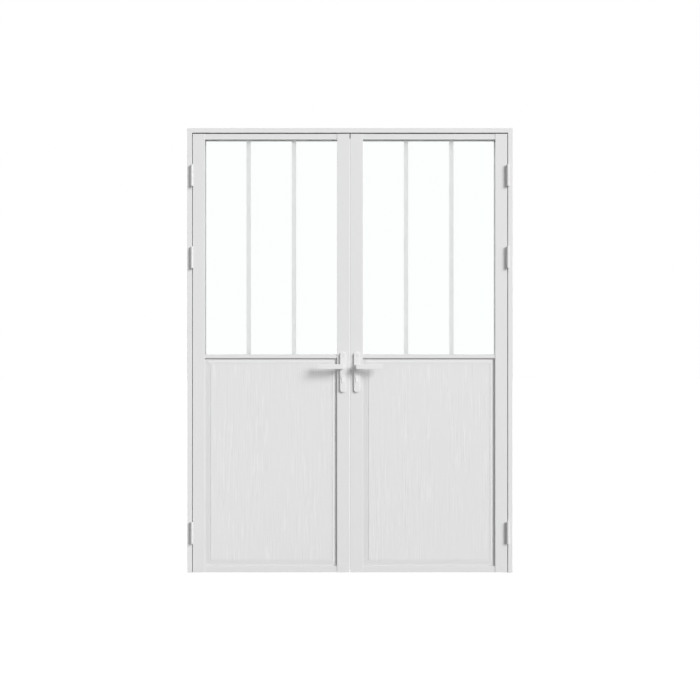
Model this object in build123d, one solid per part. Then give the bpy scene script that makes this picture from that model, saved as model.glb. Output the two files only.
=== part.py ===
from build123d import *
import math
import os

# Aluminium double door with its frame. X runs across the door, Y through it with the outside
# at -Y, and Z up from the floor. The origin is at the middle of the threshold, in the plane
# that halves the leaves' depth. The right leaf is modelled and the left one mirrored from it.

os.makedirs("parts", exist_ok=True)

# --- Frame, in millimetres ---
FRAME_WIDTH = 1500.0
FRAME_HEIGHT = 2050.0
FRAME_FACE = 22.0            # width of the jambs and the head, seen from the outside
STOP_REACH = 20.0            # how far the stop stands into the doorway
STOP_THICKNESS = 14.0
EXTRUSION_WALL = 1.8
EDGE_RADIUS = 1.0            # rounding of the extrusions' outer corners
STOP_GASKET_WIDTH = 5.0
STOP_GASKET_DEPTH = 4.0
BULB_OVERHANG = 2.0          # the gasket's bulb past its foot, each side
FIXING_RADIUS = 5.25         # holes for 10 mm frame anchors
FIXING_FROM_FLOOR = 300.0    # the lowest anchor in a jamb
FIXING_FROM_TOP = 350.0      # the highest anchor in a jamb
FIXING_STEP = 450.0          # from each of them to the next
HEAD_FIXING_SPACING = 800.0
CLEAT_ARM = 70.0
CLEAT_WIDTH = 30.0

# --- Gaps round the leaves ---
SIDE_GAP = 3.0               # leaf to jamb
HEAD_GAP = 5.0               # leaf to head
MEETING_GAP = 4.0            # between the leaves, at their outer faces
FLOOR_GAP = 3.0
STOP_GAP = 3.0               # back of the leaf to the stop, filled by the gasket
SEAL_CLEARANCE = 0.3
FIT = 0.2                    # clearance of hidden pieces in their seats
PAST = 1.0                   # how far a cut runs past the face it starts from
SAME = 0.01                  # two places closer than this are one

# --- Leaves ---
LEAF_DEPTH = 48.0
MEETING_BEVEL = 3.0          # how much the meeting edge falls back at the inside
HINGE_STILE_FACE = 56.0
MEETING_STILE_FACE = 57.5
TOP_RAIL_FACE = 26.0
MID_RAIL_FACE = 17.0
BOTTOM_RAIL_FACE = 28.0
RAIL_SETBACK = 2.0           # rails behind the outer faces of the stiles
MID_RAIL_HEIGHT = 997.5      # middle of the mid rail above the floor
LIP = 12.0                   # cover of the stiles and the outer rails over glass and panel
MID_LIP = 7.0                # cover of the slim mid rail
BEAD_WALL = 1.5

# --- Glass unit and panel ---
INFILL = 24.0
GASKET = 3.0
GASKET_WIDTH = 6.0
GASKET_INSET = 0.5           # gasket edge behind the edge of the opening
INFILL_CLEARANCE = 2.0
PANE = 4.0
SPACER_WIDTH = 6.0
BAR_WIDTH = 20.0
BAR_THICKNESS = 8.0
BAR_COUNT = 2
PANEL_BORDER = 24.0
PANEL_RISE = 3.0             # how far the field stands proud of the panel's edge
PANEL_GROOVE_WIDTH = 2.5
PANEL_GROOVE_DEPTH = 1.5
BRUSH_THICKNESS = 8.0
BRUSH_END_GAP = 8.0
MEETING_SEAL_SETBACK = 0.2   # behind the outer faces
MEETING_SEAL_DEPTH = 5.0
MEETING_SEAL_ABOVE = 22.0    # open gap above the seal
MEETING_SEAL_BELOW = 12.0

# --- Hinges ---
LOW_HINGE_HEIGHT = 186.0     # middle of the lowest hinge above the floor
TOP_HINGE_DROP = 220.0       # middle of the highest hinge below the top of the frame
UPPER_HINGE_SPACING = 377.0  # between the two upper hinges
HINGE_LENGTH = 100.0
HINGE_CAP = 3.0
CAP_ROUND = 1.8
HINGE_STANDOFF = 9.0         # hinge axis in front of the outer face
KNUCKLE_RADIUS = 7.5
PIN_RADIUS = 4.0
PIN_CLEARANCE = 0.05
KNUCKLE_GAP = 0.4
HINGE_PLATE_REACH = 25.0     # into the gap, from the outer face
HINGE_PLATE_CLEARANCE = 0.3  # each plate to the middle of the gap, and to the knuckles
HINGE_LET_IN = 0.8           # how deep the plates are let into stile and jamb
HINGE_SCREW_SPACING = 32.0   # three countersunk screws in each plate
HINGE_SCREW_RADIUS = 2.0
HINGE_SCREW_HEAD_RADIUS = 4.0

# --- Handle sets ---
HANDLE_HEIGHT = 951.0
HANDLE_BACKSET = 30.0        # meeting edge to the spindle and the cylinder
PLATE_WIDTH = 28.0
PLATE_LENGTH = 184.0
PLATE_BELOW_SPINDLE = 118.0
PLATE_THICKNESS = 9.0
PLATE_CORNER = 12.0
PLATE_EDGE = 1.5
LEVER_LENGTH = 115.0         # spindle axis to the tip
LEVER_HEAD = 5.5             # spindle axis to the head's end
LEVER_HEIGHT = 22.0
LEVER_THICKNESS = 9.0
LEVER_STANDOFF = 50.0        # outer face of the leaf to the front of the lever
LEVER_BEND = 2.5
LEVER_EDGE = 1.0
LEVER_HEAD_CORNER = 7.0
LEVER_TIP_CORNER = 3.0
BOSS_RADIUS = 8.0
BOSS_PROUD = 4.0
BOSS_CLEARANCE = 1.0         # hole in the stile round the boss
NECK_GAP = 2.0               # plate to the lever's neck
RUNNING_CLEARANCE = 0.06
SPINDLE_SIDE = 8.0
SPINDLE_END = 24.0           # how far the spindle reaches into each lever, past the leaf's face
SCREW_RADIUS = 2.5
SCREW_HEAD_RADIUS = 4.6
SCREW_HEAD = 3.0
SCREW_ABOVE_SPINDLE = 49.0
SCREW_BELOW_SPINDLE = 101.0

# --- Profile cylinder ---
CYLINDER_BELOW_SPINDLE = 49.0
CYLINDER_RADIUS = 8.5
CYLINDER_TAIL_WIDTH = 10.0
CYLINDER_TAIL = 24.5         # plug axis to the bottom of the profile
CYLINDER_PROUD = 3.0
PLUG_RADIUS = 6.5
PLUG_PROUD = 0.5
KEYWAY_WIDTH = 2.2
KEYWAY_HEIGHT = 8.0
KEYWAY_DEPTH = 14.0
CAM_REACH = 11.0
CAM_WIDTH = 9.0
CAM_CLEARANCE = 0.6          # in the slot across the cylinder

# --- Lock: a pinion on the spindle drives two bolt rods ---
MODULE = 1.0
PINION_TEETH = 16
PINION_WIDTH = 6.0
HUB_RADIUS = 6.5
BACKLASH = 0.12
PRESSURE_ANGLE = math.radians(20)
FLANK_STEPS = 3              # straight pieces in each flank of a tooth
RACK_TEETH = 8
RACK_LEAD = 1                # teeth past the one beside the spindle's height, at rest
ROD_THICKNESS = 2.75
ROD_WIDTH = 8.0
ROD_RECESS = 1.0             # rod ends behind the leaf's ends, unlocked
ROD_NOSE = 2.0
ROD_CLEARANCE = 0.3
DRIVE_Y = 8.0                # middle plane of the pinion and the rods
CASE_WALL = 1.2
CASE_THICKNESS = 22.0
CASE_Y = 4.0
CASE_ABOVE_SPINDLE = 34.0
CASE_BELOW_CYLINDER = 30.0
CASE_BELOW_DEADBOLT = 20.0
FACEPLATE_THICKNESS = 3.0
FACEPLATE_WIDTH = 22.0
FACEPLATE_MARGIN = 12.0      # past the case, above and below
GUIDE_LENGTH = 20.0
KEEPER_WIDTH = 24.0
KEEPER_CORNER = 3.0
KEEPER_THICKNESS = 1.5
DEADBOLT_BELOW_CYLINDER = 72.0
DEADBOLT_TALL = 25.0
DEADBOLT_THICKNESS = 12.0
DEADBOLT_LENGTH = 33.0
DEADBOLT_THROW = 20.0
DEADBOLT_RECESS = 0.5
STRIKE_MARGIN = 12.0
STRIKE_CLEARANCE = 1.0       # round the thrown deadbolt

# --- Derived places ---
HALF_DEPTH = LEAF_DEPTH / 2
LIP_DEPTH = (LEAF_DEPTH - INFILL) / 2 - GASKET
HALF_WIDTH = FRAME_WIDTH / 2
STOP_Y = HALF_DEPTH + STOP_GAP
FRAME_BACK = STOP_Y + STOP_THICKNESS
LEAF_INNER = MEETING_GAP / 2
LEAF_OUTER = HALF_WIDTH - FRAME_FACE - SIDE_GAP
LEAF_TOP = FRAME_HEIGHT - FRAME_FACE - HEAD_GAP
LEAF_BOTTOM = FLOOR_GAP
LEAF_Z = (LEAF_BOTTOM, LEAF_TOP)
STOP_MIDDLE = FRAME_FACE + STOP_REACH / 2
HIGH_FIXING = FRAME_HEIGHT - FIXING_FROM_TOP
JAMB_FIXING_HEIGHTS = (FIXING_FROM_FLOOR, FIXING_FROM_FLOOR + FIXING_STEP,
                       HIGH_FIXING - FIXING_STEP, HIGH_FIXING)
HINGE_X = LEAF_OUTER + SIDE_GAP / 2
HINGE_Y = -HALF_DEPTH - HINGE_STANDOFF
TOP_HINGE_HEIGHT = FRAME_HEIGHT - TOP_HINGE_DROP
HINGE_HEIGHTS = (LOW_HINGE_HEIGHT, TOP_HINGE_HEIGHT - UPPER_HINGE_SPACING, TOP_HINGE_HEIGHT)
HINGE_PLATE = SIDE_GAP / 2 - HINGE_PLATE_CLEARANCE
SPINDLE_X = LEAF_INNER + HANDLE_BACKSET
PITCH_RADIUS = MODULE * PINION_TEETH / 2
ROOT_DEPTH = 1.25 * MODULE
WEB = MID_RAIL_FACE - 2 * MID_LIP
MID_LOW = MID_RAIL_HEIGHT - MID_RAIL_FACE / 2
MID_HIGH = MID_RAIL_HEIGHT + MID_RAIL_FACE / 2
OPENING_X = (LEAF_INNER + MEETING_STILE_FACE, LEAF_OUTER - HINGE_STILE_FACE)
SLOT_X = (OPENING_X[0] - LIP, OPENING_X[1] + LIP)
LITE_Z = (MID_HIGH, LEAF_TOP - TOP_RAIL_FACE)
LITE_SLOT_Z = (MID_HIGH - MID_LIP, LITE_Z[1] + LIP)
PANEL_Z = (LEAF_BOTTOM + BOTTOM_RAIL_FACE, MID_LOW)
PANEL_SLOT_Z = (PANEL_Z[0] - LIP, MID_LOW + MID_LIP)
CYLINDER_HEIGHT = HANDLE_HEIGHT - CYLINDER_BELOW_SPINDLE
SCREW_HEIGHTS = (HANDLE_HEIGHT - SCREW_BELOW_SPINDLE, HANDLE_HEIGHT + SCREW_ABOVE_SPINDLE)
CASE_TOP = HANDLE_HEIGHT + CASE_ABOVE_SPINDLE
DEADBOLT_HEIGHT = CYLINDER_HEIGHT - DEADBOLT_BELOW_CYLINDER
CASE_BACK = SLOT_X[0] - EXTRUSION_WALL - FIT
CASE_FRONT = LEAF_INNER + MEETING_BEVEL + EXTRUSION_WALL + FIT
ROD_X = SPINDLE_X - PITCH_RADIUS - ROOT_DEPTH - ROD_THICKNESS / 2
LOWER_ROD_X = 2 * SPINDLE_X - ROD_X
CAM_THICKNESS = 2 * (DRIVE_Y - ROD_WIDTH / 2 - ROD_CLEARANCE)   # turns in front of the lower rod


# ---------------------------------------------------------------- small helpers
def block(x, y, z):
    """A box given by its (low, high) limits along X, Y and Z."""
    size = [high - low for low, high in (x, y, z)]
    return Pos(x[0], y[0], z[0]) * Box(*size, align=Align.MIN)


def inset(span, distance):
    """A (low, high) span drawn in at both ends."""
    return (span[0] + distance, span[1] - distance)


def about(middle, width):
    """A (low, high) span round its middle."""
    return (middle - width / 2, middle + width / 2)


def ring(x, y, z, width):
    """A rectangular ring in the plane of the door, from its outer limits inwards."""
    return block(x, y, z) - block(inset(x, width), y, inset(z, width))


def upright(points, z):
    """A section of (x, y) points, extruded between two heights."""
    face = make_face(Polyline(*points, close=True))
    return Pos(0, 0, z[0]) * extrude(face, amount=z[1] - z[0], dir=(0, 0, 1))


def round_bar(radius, x, y, z):
    """A round bar along Y, at x and z, between two depths."""
    bar = Cylinder(radius, y[1] - y[0], align=(Align.CENTER, Align.CENTER, Align.MIN))
    return Pos(x, y[0], z) * Rot(-90, 0, 0) * bar


def hollow(outline, chambers):
    """A hollow section: the corners of its front face rounded, its chambers taken out."""
    face = make_face(Polyline(*outline, close=True))
    corners = face.vertices().group_by(Axis.Y)[0]
    face = fillet(corners, EDGE_RADIUS)
    for chamber in chambers:
        face = face - make_face(Polyline(*chamber, close=True))
    return face


def run_up(section, edge_x, inwards, z):
    """A section extruded upwards, from its outer edge at edge_x; inwards is +1 or -1."""
    placed = section if inwards > 0 else mirror(section, about=Plane.YZ)
    return Pos(edge_x, 0, z[0]) * extrude(placed, amount=z[1] - z[0], dir=(0, 0, 1))


def run_across(section, edge_z, inwards, x):
    """A section extruded along X, from its outer edge at edge_z; inwards is +1 or -1."""
    plane = Plane(origin=(x[0], 0, edge_z), x_dir=(0, 0, inwards), z_dir=(-inwards, 0, 0))
    return extrude(plane * section, amount=x[1] - x[0], dir=(1, 0, 0))


# ---------------------------------------------------------------- frame
def frame_section():
    """Jamb and head section: a box, and a stop with a slot for the gasket in its front."""
    wall, front = EXTRUSION_WALL, -HALF_DEPTH
    inner = FRAME_FACE + STOP_REACH
    slot_floor = STOP_Y + STOP_GASKET_DEPTH
    outline = [(0, front), (FRAME_FACE, front), (FRAME_FACE, STOP_Y), (inner, STOP_Y),
               (inner, FRAME_BACK), (0, FRAME_BACK)]
    box_x, stop_x = (wall, FRAME_FACE - wall), (wall, inner - wall)
    box_y, stop_y = (front + wall, slot_floor), (slot_floor + wall, FRAME_BACK - wall)
    section = hollow(outline, [corners_of(box_x, box_y), corners_of(stop_x, stop_y)])
    return section - make_face(Polyline(*gasket_slot(), close=True))


def corners_of(x, y):
    """The four corners of a rectangle given by its limits."""
    return [(x[0], y[0]), (x[1], y[0]), (x[1], y[1]), (x[0], y[1])]


def gasket_slot():
    """The slot in the stop's front, behind the leaf's edge."""
    return corners_of(about(STOP_MIDDLE, STOP_GASKET_WIDTH), (STOP_Y, STOP_Y + STOP_GASKET_DEPTH))


def plate_span(height):
    """The height that a hinge's plates take up, between the pin's caps."""
    return inset(about(height, HINGE_LENGTH), HINGE_CAP)


def hinge_seats(x):
    """Shallow pockets for the hinge plates, between two limits along X."""
    y = (-HALF_DEPTH - PAST, -HALF_DEPTH + HINGE_PLATE_REACH + FIT)
    return [block(x, y, inset(plate_span(height), -FIT)) for height in HINGE_HEIGHTS]


def mitred_frame(section):
    """The left jamb, the right jamb and the head of one section, cut at 45 degrees."""
    left_cut = Plane(origin=(-HALF_WIDTH, 0, FRAME_HEIGHT), z_dir=(1, 0, 1))
    right_cut = Plane(origin=(HALF_WIDTH, 0, FRAME_HEIGHT), z_dir=(-1, 0, 1))
    jamb = run_up(section, -HALF_WIDTH, 1, (0, FRAME_HEIGHT))
    jamb = split(jamb, bisect_by=left_cut, keep=Keep.BOTTOM)
    head = run_across(section, FRAME_HEIGHT, -1, (-HALF_WIDTH, HALF_WIDTH))
    head = split(head, bisect_by=left_cut, keep=Keep.TOP)
    head = split(head, bisect_by=right_cut, keep=Keep.TOP)
    return jamb, mirror(jamb, about=Plane.YZ), head


def rod_slot(x, z):
    """The space a bolt rod needs where it passes through a wall."""
    width = ROD_THICKNESS + 2 * ROD_CLEARANCE
    return block(about(x, width), about(DRIVE_Y, ROD_WIDTH + 2 * ROD_CLEARANCE), z)


def frame_members():
    """Both jambs and the head, with anchor holes, hinge seats and slots for the bolt rods."""
    left, right, head = mitred_frame(frame_section())
    rebate_z = FRAME_HEIGHT - FRAME_FACE
    anchor = Cylinder(FIXING_RADIUS, 2 * (FRAME_FACE + STOP_REACH))
    for height in JAMB_FIXING_HEIGHTS:
        bore = Pos(-HALF_WIDTH, DRIVE_Y, height) * Rot(0, 90, 0) * anchor
        left = left - bore
        right = right - mirror(bore, about=Plane.YZ)
    rebate_x = HALF_WIDTH - FRAME_FACE
    for seat in hinge_seats((rebate_x - PAST, rebate_x + HINGE_LET_IN)):
        right = right - seat
        left = left - mirror(seat, about=Plane.YZ)
    for side in (-1, 1):
        x = side * HEAD_FIXING_SPACING / 2
        head = head - Pos(x, DRIVE_Y, FRAME_HEIGHT) * anchor
        slot = rod_slot(ROD_X, (rebate_z - HEAD_GAP, rebate_z + 2 * EXTRUSION_WALL))
        head = head - (slot if side > 0 else mirror(slot, about=Plane.YZ))
    return left, right, head


def frame_gasket():
    """One gasket round the stop: a foot in the slot and a bulb that meets the leaf."""
    foot = corners_of(about(STOP_MIDDLE, STOP_GASKET_WIDTH),
                      (STOP_Y, STOP_Y + STOP_GASKET_DEPTH - FIT))
    bulb = corners_of(about(STOP_MIDDLE, STOP_GASKET_WIDTH + 2 * BULB_OVERHANG),
                      (HALF_DEPTH + SEAL_CLEARANCE, STOP_Y))
    section = make_face(Polyline(*foot, close=True)) + make_face(Polyline(*bulb, close=True))
    left, right, head = mitred_frame(section)
    return left + right + head


def corner_cleats():
    """The angle that joins each jamb to the head inside their box chambers."""
    near, far = EXTRUSION_WALL + FIT, FRAME_FACE - EXTRUSION_WALL - FIT
    width = about(0, CLEAT_WIDTH)
    x, z = HALF_WIDTH, FRAME_HEIGHT
    leg = block((x - far, x - near), width, (z - CLEAT_ARM, z - near))
    arm = block((x - CLEAT_ARM, x - near), width, (z - far, z - near))
    return pair(leg + arm)


def pair(shape):
    """A piece and its mirror image, as two solids of one group."""
    return Compound(children=[shape, mirror(shape, about=Plane.YZ)])


def head_keepers():
    """The slotted plates under the head that take the upper rods."""
    under = FRAME_HEIGHT - FRAME_FACE
    z = (under - KEEPER_THICKNESS, under)
    plate = block(about(ROD_X, KEEPER_WIDTH), about(DRIVE_Y, KEEPER_WIDTH), z)
    plate = fillet(plate.edges().filter_by(Axis.Z), KEEPER_CORNER)
    return pair(plate - rod_slot(ROD_X, z))


# ---------------------------------------------------------------- leaf extrusions
def edge_at(y, bevel):
    """How far a bevelled outer edge has fallen back at depth y."""
    return bevel * (y + HALF_DEPTH) / LEAF_DEPTH


def sash_section(face, bevel=0.0, setback=0.0):
    """Stile and outer rail section: a box with a hollow lip that covers the infill's edge."""
    wall, front, back = EXTRUSION_WALL, -HALF_DEPTH + setback, HALF_DEPTH
    box, lip_back = face - LIP, -HALF_DEPTH + LIP_DEPTH
    outline = [(0, front), (face, front), (face, lip_back), (box, lip_back), (box, back),
               (bevel, back)]
    y_low, y_high = front + wall, back - wall
    chamber = [(wall + edge_at(y_low, bevel), y_low), (face - wall, y_low),
               (face - wall, lip_back - wall), (box - wall, lip_back - wall),
               (box - wall, y_high), (wall + edge_at(y_high, bevel), y_high)]
    return hollow(outline, [chamber])


def hinge_stile():
    """The stile on the hinge side, its edge cut for the hinge plates."""
    stile = run_up(sash_section(HINGE_STILE_FACE), LEAF_OUTER, -1, LEAF_Z)
    for seat in hinge_seats((LEAF_OUTER - HINGE_LET_IN, LEAF_OUTER + PAST)):
        stile = stile - seat
    return stile


def cope(rail):
    """Cut a rail's front back at both ends, where the stiles' lips pass it."""
    y = (-HALF_DEPTH - PAST, -HALF_DEPTH + LIP_DEPTH)
    for x in ((SLOT_X[0], OPENING_X[0]), (OPENING_X[1], SLOT_X[1])):
        rail = rail - block(x, y, (0, FRAME_HEIGHT))
    return rail


def top_rail():
    section = sash_section(TOP_RAIL_FACE, setback=RAIL_SETBACK)
    return cope(run_across(section, LEAF_TOP, -1, SLOT_X))


def bottom_rail():
    section = sash_section(BOTTOM_RAIL_FACE, setback=RAIL_SETBACK)
    return cope(run_across(section, LEAF_BOTTOM, 1, SLOT_X))


def mid_rail():
    """A slim T-bar: a hollow front with a web between the glass and the panel."""
    wall, front, lip_back = EXTRUSION_WALL, -HALF_DEPTH + RAIL_SETBACK, -HALF_DEPTH + LIP_DEPTH
    web = about(MID_RAIL_FACE / 2, WEB)
    outline = [(0, front), (MID_RAIL_FACE, front), (MID_RAIL_FACE, lip_back), (web[1], lip_back),
               (web[1], HALF_DEPTH), (web[0], HALF_DEPTH), (web[0], lip_back), (0, lip_back)]
    chamber = corners_of((wall, MID_RAIL_FACE - wall), (front + wall, lip_back - wall))
    return cope(run_across(hollow(outline, [chamber]), MID_LOW, 1, SLOT_X))


def cylinder_profile(grow, y):
    """The profile cylinder's outline, grown all round, between two depths."""
    tail = block(about(SPINDLE_X, CYLINDER_TAIL_WIDTH + 2 * grow), y,
                 (CYLINDER_HEIGHT - CYLINDER_TAIL - grow, CYLINDER_HEIGHT))
    return round_bar(CYLINDER_RADIUS + grow, SPINDLE_X, y, CYLINDER_HEIGHT) + tail


def meeting_edge_slab(thickness, z):
    """A strip that follows the bevelled meeting edge, flush with it."""
    front, back = -HALF_DEPTH, HALF_DEPTH
    x = LEAF_INNER
    return upright([(x, front), (x + thickness + MEETING_BEVEL, front),
                    (x + thickness + MEETING_BEVEL, back), (x + MEETING_BEVEL, back)], z)


def case_span(is_right):
    """The height of a leaf's lock case: the right one reaches down to its deadbolt."""
    if is_right:
        return (DEADBOLT_HEIGHT - CASE_BELOW_DEADBOLT, CASE_TOP)
    return (CYLINDER_HEIGHT - CASE_BELOW_CYLINDER, CASE_TOP)


def faceplate_span(is_right):
    return inset(case_span(is_right), -FACEPLATE_MARGIN)


def strike_span():
    return about(DEADBOLT_HEIGHT, DEADBOLT_TALL + 2 * STRIKE_MARGIN)


def meeting_stile(is_right):
    """The stile that holds the lock, cut for the handle, the cylinder and the faceplate."""
    section = sash_section(MEETING_STILE_FACE, MEETING_BEVEL)
    stile = run_up(section, LEAF_INNER, 1, LEAF_Z)
    through = (-HALF_DEPTH - PAST, HALF_DEPTH + PAST)
    stile = stile - round_bar(BOSS_RADIUS + BOSS_CLEARANCE, SPINDLE_X, through, HANDLE_HEIGHT)
    stile = stile - cylinder_profile(FIT, through)
    for height in SCREW_HEIGHTS:
        stile = stile - round_bar(SCREW_RADIUS + FIT, SPINDLE_X, through, height)
    edge = (LEAF_INNER - PAST, CASE_FRONT)
    spans = [faceplate_span(is_right)] if is_right else [faceplate_span(False), strike_span()]
    for span in spans:
        stile = stile - block(edge, about(CASE_Y, FACEPLATE_WIDTH + 2 * FIT), inset(span, -FIT))
    return stile


# ---------------------------------------------------------------- glass, panel and their seals
def panel():
    """A bonded panel: a flat edge, a sloping border, a groove and a raised field on each face."""
    x, z = inset(SLOT_X, INFILL_CLEARANCE), inset(PANEL_SLOT_Z, INFILL_CLEARANCE)
    body = block(x, about(0, INFILL), z)
    centre_x, centre_z = sum(OPENING_X) / 2, sum(PANEL_Z) / 2
    width, height = OPENING_X[1] - OPENING_X[0], PANEL_Z[1] - PANEL_Z[0]
    field = (width - 2 * PANEL_BORDER, height - 2 * PANEL_BORDER)
    for side in (-1, 1):
        foot, top = side * INFILL / 2, side * (INFILL / 2 + PANEL_RISE)
        slope = loft([Pos(centre_x, foot, centre_z) * Rot(90, 0, 0) * Rectangle(width, height),
                      Pos(centre_x, top, centre_z) * Rot(90, 0, 0) * Rectangle(*field)])
        groove_y = sorted((top, top - side * PANEL_GROOVE_DEPTH))
        groove = ring(about(centre_x, field[0]), groove_y, about(centre_z, field[1]),
                      PANEL_GROOVE_WIDTH)
        body = body + slope - groove
    return body


def pane(side):
    """One pane of the sealed unit; side is -1 outside and +1 inside."""
    outer, inner = side * INFILL / 2, side * (INFILL / 2 - PANE)
    x, z = inset(SLOT_X, INFILL_CLEARANCE), inset(LITE_SLOT_Z, INFILL_CLEARANCE)
    return block(x, sorted((outer, inner)), z)


def spacer_and_bars():
    """The spacer round the edge of the sealed unit, with upright bars between the panes."""
    x, z = inset(SLOT_X, INFILL_CLEARANCE), inset(LITE_SLOT_Z, INFILL_CLEARANCE)
    grid = ring(x, about(0, INFILL - 2 * PANE), z, SPACER_WIDTH)
    clear = (OPENING_X[1] - OPENING_X[0] - BAR_COUNT * BAR_WIDTH) / (BAR_COUNT + 1)
    for i in range(BAR_COUNT):
        left = OPENING_X[0] + clear + i * (clear + BAR_WIDTH)
        bar = block((left, left + BAR_WIDTH), about(0, BAR_THICKNESS), inset(z, SPACER_WIDTH))
        grid = grid + bar
    return grid


def glazing_gaskets():
    """The gaskets in front of and behind the glass unit and the panel."""
    rings = []
    for opening_z in (LITE_Z, PANEL_Z):
        for side in (-1, 1):
            y = sorted((side * INFILL / 2, side * (INFILL / 2 + GASKET)))
            grow = -(GASKET_INSET + GASKET_WIDTH)
            rings.append(ring(inset(OPENING_X, grow), y, inset(opening_z, grow), GASKET_WIDTH))
    return Compound(children=rings)


def bead_channel(height):
    """A glazing bead's section, open towards the glass, from its seat to the opening."""
    wall, back, front = BEAD_WALL, HALF_DEPTH, HALF_DEPTH - LIP_DEPTH
    points = [(0, front), (wall, front), (wall, back - wall), (height - wall, back - wall),
              (height - wall, front), (height, front), (height, back - wall),
              (height - wall, back), (0, back)]
    return make_face(Polyline(*points, close=True))


def glazing_beads():
    """The inner beads: across the top and bottom of each opening, with uprights between."""
    bars = []
    for slot_z, low, high in ((LITE_SLOT_Z, MID_LIP, LIP), (PANEL_SLOT_Z, LIP, MID_LIP)):
        bars.append(run_across(bead_channel(low), slot_z[0], 1, SLOT_X))
        bars.append(run_across(bead_channel(high), slot_z[1], -1, SLOT_X))
        span = (slot_z[0] + low, slot_z[1] - high)
        bars.append(run_up(bead_channel(LIP), SLOT_X[0], 1, span))
        bars.append(run_up(bead_channel(LIP), SLOT_X[1], -1, span))
    return Compound(children=bars)


def bottom_brush():
    x = inset((LEAF_INNER, LEAF_OUTER), BRUSH_END_GAP)
    return block(x, about(0, BRUSH_THICKNESS), (SEAL_CLEARANCE, LEAF_BOTTOM))


def meeting_seal():
    """A strip on the right leaf's meeting edge that closes the gap, almost flush in front."""
    front = -HALF_DEPTH + MEETING_SEAL_SETBACK
    back = front + MEETING_SEAL_DEPTH
    tip = -LEAF_INNER + SEAL_CLEARANCE
    root_front = LEAF_INNER + edge_at(front, MEETING_BEVEL)
    root_back = LEAF_INNER + edge_at(back, MEETING_BEVEL)
    z = (LEAF_BOTTOM + MEETING_SEAL_BELOW, LEAF_TOP - MEETING_SEAL_ABOVE)
    return upright([(tip, front), (root_front, front), (root_back, back), (0, back),
                    (tip, front + MEETING_SEAL_DEPTH / 2)], z)


# ---------------------------------------------------------------- hinges
def knuckle(z):
    body = Cylinder(KNUCKLE_RADIUS, z[1] - z[0], align=(Align.CENTER, Align.CENTER, Align.MIN))
    return Pos(HINGE_X, HINGE_Y, z[0]) * body


def knuckle_spans(height):
    """Three knuckles, bottom to top, over the height of the plates."""
    low, high = plate_span(height)
    each = (high - low - 2 * KNUCKLE_GAP) / 3
    starts = [low + i * (each + KNUCKLE_GAP) for i in range(3)]
    return [(start, start + each) for start in starts]


def screw_seat(x, height, on_door):
    """A countersunk hole through a hinge plate, wide at the face in the gap."""
    radii = (HINGE_SCREW_RADIUS, HINGE_SCREW_HEAD_RADIUS)
    cone = Cone(*(radii if on_door else reversed(radii)), x[1] - x[0],
                align=(Align.CENTER, Align.CENTER, Align.MIN))
    return Pos(x[0], -HALF_DEPTH + HINGE_PLATE_REACH / 2, height) * Rot(0, 90, 0) * cone


def hinge_half(height, on_door):
    """One half of a butt hinge: a plate in the gap and the knuckles that carry it."""
    spans = knuckle_spans(height)
    mine = spans[1:2] if on_door else spans[0::2]
    x = (LEAF_OUTER - HINGE_LET_IN, LEAF_OUTER + HINGE_PLATE)
    if not on_door:
        jamb = LEAF_OUTER + SIDE_GAP
        x = (jamb - HINGE_PLATE, jamb + HINGE_LET_IN)
    bore = Pos(HINGE_X, HINGE_Y, height) * Cylinder(PIN_RADIUS + PIN_CLEARANCE, 2 * HINGE_LENGTH)
    clear_y = HINGE_Y + KNUCKLE_RADIUS + HINGE_PLATE_CLEARANCE
    half = block(x, (clear_y, -HALF_DEPTH + HINGE_PLATE_REACH), (spans[0][0], spans[2][1]))
    for offset in (-HINGE_SCREW_SPACING, 0, HINGE_SCREW_SPACING):
        half = half - screw_seat(x, height + offset, on_door)
    for span in mine:
        tongue = block(x, (HINGE_Y + KNUCKLE_RADIUS / 2, clear_y), span)
        half = half + tongue + knuckle(span)
    return half - bore


def hinge_halves(on_door):
    return [hinge_half(height, on_door) for height in HINGE_HEIGHTS]


def hinge_pin(height):
    """A pin with a domed cap at each end."""
    low, high = about(height, HINGE_LENGTH)
    pin = Pos(HINGE_X, HINGE_Y, height) * Cylinder(PIN_RADIUS, HINGE_LENGTH - HINGE_CAP)
    for end, inner in ((low, low + HINGE_CAP), (high, high - HINGE_CAP)):
        cap = knuckle(sorted((end, inner)))
        outer_face = cap.faces().sort_by(Axis.Z)[0 if end < inner else -1]
        pin = pin + fillet(outer_face.edges(), CAP_ROUND)
    return pin


def both_sides(shapes):
    """Solids for the right side and their mirror images, as one group."""
    return Compound(children=shapes + [mirror(shape, about=Plane.YZ) for shape in shapes])


# ---------------------------------------------------------------- handle sets
def handle_plates():
    """The outer and inner plates, with holes for lever, cylinder and screws."""
    low = HANDLE_HEIGHT - PLATE_BELOW_SPINDLE
    x, z = about(SPINDLE_X, PLATE_WIDTH), (low, low + PLATE_LENGTH)
    y = (-HALF_DEPTH - PLATE_THICKNESS, -HALF_DEPTH)
    plate = block(x, y, z)
    plate = fillet(plate.edges().filter_by(Axis.Y), PLATE_CORNER)
    plate = fillet(plate.faces().sort_by(Axis.Y)[0].edges(), PLATE_EDGE)
    plate = plate - round_bar(BOSS_RADIUS + RUNNING_CLEARANCE, SPINDLE_X, y, HANDLE_HEIGHT)
    plate = plate - cylinder_profile(FIT, y)
    for height in SCREW_HEIGHTS:
        plate = plate - screw(height)
    return Compound(children=[plate, mirror(plate, about=Plane.XZ)])


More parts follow.
